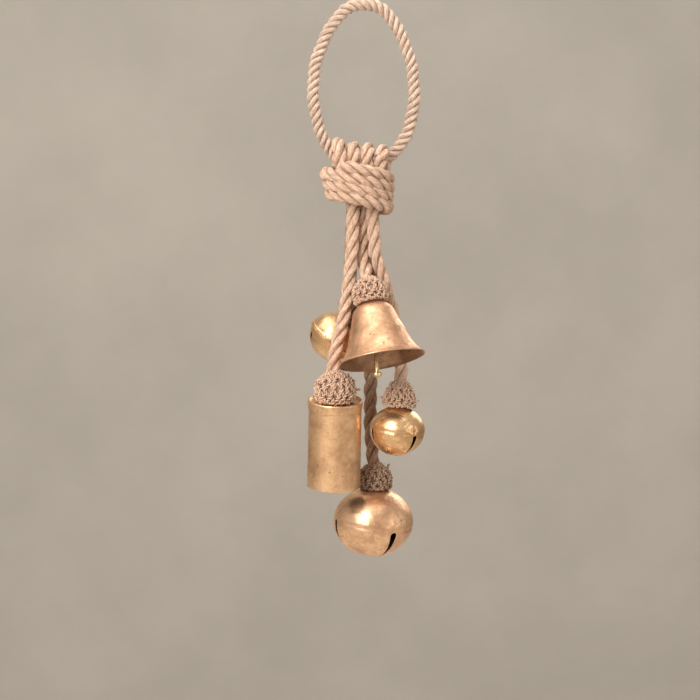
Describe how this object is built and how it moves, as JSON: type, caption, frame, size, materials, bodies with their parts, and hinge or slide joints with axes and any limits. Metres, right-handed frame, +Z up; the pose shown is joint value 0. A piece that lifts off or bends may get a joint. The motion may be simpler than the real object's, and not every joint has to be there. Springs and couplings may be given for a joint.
{
  "type": "hanging bell bunch",
  "caption": "Hanging bunch of metal bells on jute rope drops below a wrapped knot and a hanger loop, with crotal, flared and cylinder bells.",
  "frame": {"origin": "inside top of the hanger loop, where it rests on a hook", "axes": "+X to the right seen from the front, +Z up along the hang, -Y to the front"},
  "size_m": [0.084, 0.105, 0.3983],
  "materials": {
    "jute_rope": "three-strand laid jute, hairy and matt",
    "jute_twine": "fine two-ply jute twine, knotted, with frayed ends",
    "bell_metal": "worn gold-bronze wash over beaten sheet iron, scratched and spotted",
    "wire": "bent wire, dull gold wash",
    "clapper": "bare rod, polished where it strikes",
    "pellet": "raw iron ball"
  },
  "bodies": {
    "hanger": {"hanger_loop": "jute_rope", "knot_core": "jute_rope", "knot_wrap": "jute_rope", "knot_crown": "jute_rope"},
    "cylinder_line": {"cylinder_rope": "jute_rope"},
    "cylinder_grip": {"cylinder_tie": "jute_twine"},
    "cylinder_sounder": {"cylinder_staple": "wire", "cylinder_cap": "bell_metal", "cylinder_body": "bell_metal"},
    "cylinder_striker": {"cylinder_clapper": "clapper"},
    "flared_line": {"flared_rope": "jute_rope"},
    "flared_grip": {"flared_tie": "jute_twine"},
    "flared_sounder": {"flared_staple": "wire", "flared_bell": "bell_metal"},
    "flared_striker": {"flared_clapper": "clapper"},
    "small_line": {"small_rope": "jute_rope"},
    "small_grip": {"small_tie": "jute_twine"},
    "small_sounder": {"small_staple": "wire", "small_shell": "bell_metal"},
    "small_striker": {"small_pellet": "pellet"},
    "large_line": {"large_rope": "jute_rope"},
    "large_grip": {"large_tie": "jute_twine"},
    "large_sounder": {"large_staple": "wire", "large_shell": "bell_metal"},
    "large_striker": {"large_pellet": "pellet"},
    "medium_line": {"medium_rope": "jute_rope"},
    "medium_grip": {"medium_tie": "jute_twine"},
    "medium_sounder": {"medium_staple": "wire", "medium_upper_cup": "bell_metal", "medium_lower_cup": "bell_metal"},
    "medium_striker": {"medium_pellet": "pellet"}
  },
  "joints": [
    {"name": "cylinder_swing", "type": "hinge", "parent": "hanger", "child": "cylinder_line", "pos_m": [-0.0078, -0.0068, -0.143], "axis": [-0.5291, 0.8486, 0], "range_deg": [0, 25]},
    {"name": "cylinder_nod", "type": "hinge", "parent": "cylinder_line", "child": "cylinder_grip", "pos_m": [-0.0222, -0.0142, -0.2584], "axis": [-0.5291, 0.8486, 0], "range_deg": [0, 12]},
    {"name": "cylinder_twist", "type": "hinge", "parent": "cylinder_grip", "child": "cylinder_sounder", "pos_m": [-0.0202, -0.017, -0.2765], "axis": [0.0209, -0.2249, 0.9742], "range_deg": [-35, 35]},
    {"name": "cylinder_strike", "type": "hinge", "parent": "cylinder_sounder", "child": "cylinder_striker", "pos_m": [-0.02038, -0.01507, -0.28488], "axis": [0, 0.9744, 0.225], "range_deg": [-15, 15]},
    {"name": "flared_swing", "type": "hinge", "parent": "hanger", "child": "flared_line", "pos_m": [-0.001, 0, -0.143], "axis": [-1, 0, 0], "range_deg": [0, 2]},
    {"name": "flared_nod", "type": "hinge", "parent": "flared_line", "child": "flared_grip", "pos_m": [0.0032, -0.0136, -0.1922], "axis": [-1, 0, 0], "range_deg": [0, 12]},
    {"name": "flared_twist", "type": "hinge", "parent": "flared_grip", "child": "flared_sounder", "pos_m": [0.0053, -0.018, -0.207], "axis": [-0.1685, 0.2217, 0.9604], "range_deg": [-35, 35]},
    {"name": "flared_strike", "type": "hinge", "parent": "flared_sounder", "child": "flared_striker", "pos_m": [0.00675, -0.01991, -0.21526], "axis": [0, 0.9744, -0.225], "range_deg": [-42, 29]},
    {"name": "small_swing", "type": "hinge", "parent": "hanger", "child": "small_line", "pos_m": [0.0058, -0.0068, -0.143], "axis": [0.2, -0.9798, 0], "range_deg": [0, 25]},
    {"name": "small_nod", "type": "hinge", "parent": "small_line", "child": "small_grip", "pos_m": [0.0264, 0.0026, -0.2652], "axis": [0.2, -0.9798, 0], "range_deg": [0, 12]},
    {"name": "small_twist", "type": "hinge", "parent": "small_grip", "child": "small_sounder", "pos_m": [0.02501, 0.001, -0.28071], "axis": [0.0698, 0, 0.9976], "range_deg": [-35, 35]},
    {"name": "small_strike", "type": "hinge", "parent": "small_sounder", "child": "small_striker", "pos_m": [0.0238, 0.001, -0.298], "axis": [0, 1, 0], "range_deg": [-60, 60]},
    {"name": "large_swing", "type": "hinge", "parent": "hanger", "child": "large_line", "pos_m": [0.0058, 0.0068, -0.143], "axis": [0.995, -0.0995, 0], "range_deg": [0, 25]},
    {"name": "large_nod", "type": "hinge", "parent": "large_line", "child": "large_grip", "pos_m": [0.0072, 0.0174, -0.325], "axis": [0.995, -0.0995, 0], "range_deg": [0, 12]},
    {"name": "large_twist", "type": "hinge", "parent": "large_grip", "child": "large_sounder", "pos_m": [0.00803, 0.01754, -0.34007], "axis": [0.0419, -0.0593, 0.9974], "range_deg": [-35, 35]},
    {"name": "large_strike", "type": "hinge", "parent": "large_sounder", "child": "large_striker", "pos_m": [0.007, 0.019, -0.3647], "axis": [0, 1, 0], "range_deg": [-60, 60]},
    {"name": "medium_swing", "type": "hinge", "parent": "hanger", "child": "medium_line", "pos_m": [-0.0078, 0.0068, -0.143], "axis": [0.8, 0.6, 0], "range_deg": [0, 25]},
    {"name": "medium_nod", "type": "hinge", "parent": "medium_line", "child": "medium_grip", "pos_m": [-0.0062, 0.0078, -0.2039], "axis": [0.8, 0.6, 0], "range_deg": [0, 12]},
    {"name": "medium_twist", "type": "hinge", "parent": "medium_grip", "child": "medium_sounder", "pos_m": [-0.01005, 0.00992, -0.21836], "axis": [0.5807, -0.238, 0.7785], "range_deg": [-35, 35]},
    {"name": "medium_strike", "type": "hinge", "parent": "medium_sounder", "child": "medium_striker", "pos_m": [-0.02, 0.014, -0.2317], "axis": [0, 1, 0], "range_deg": [-60, 60]}
  ]
}
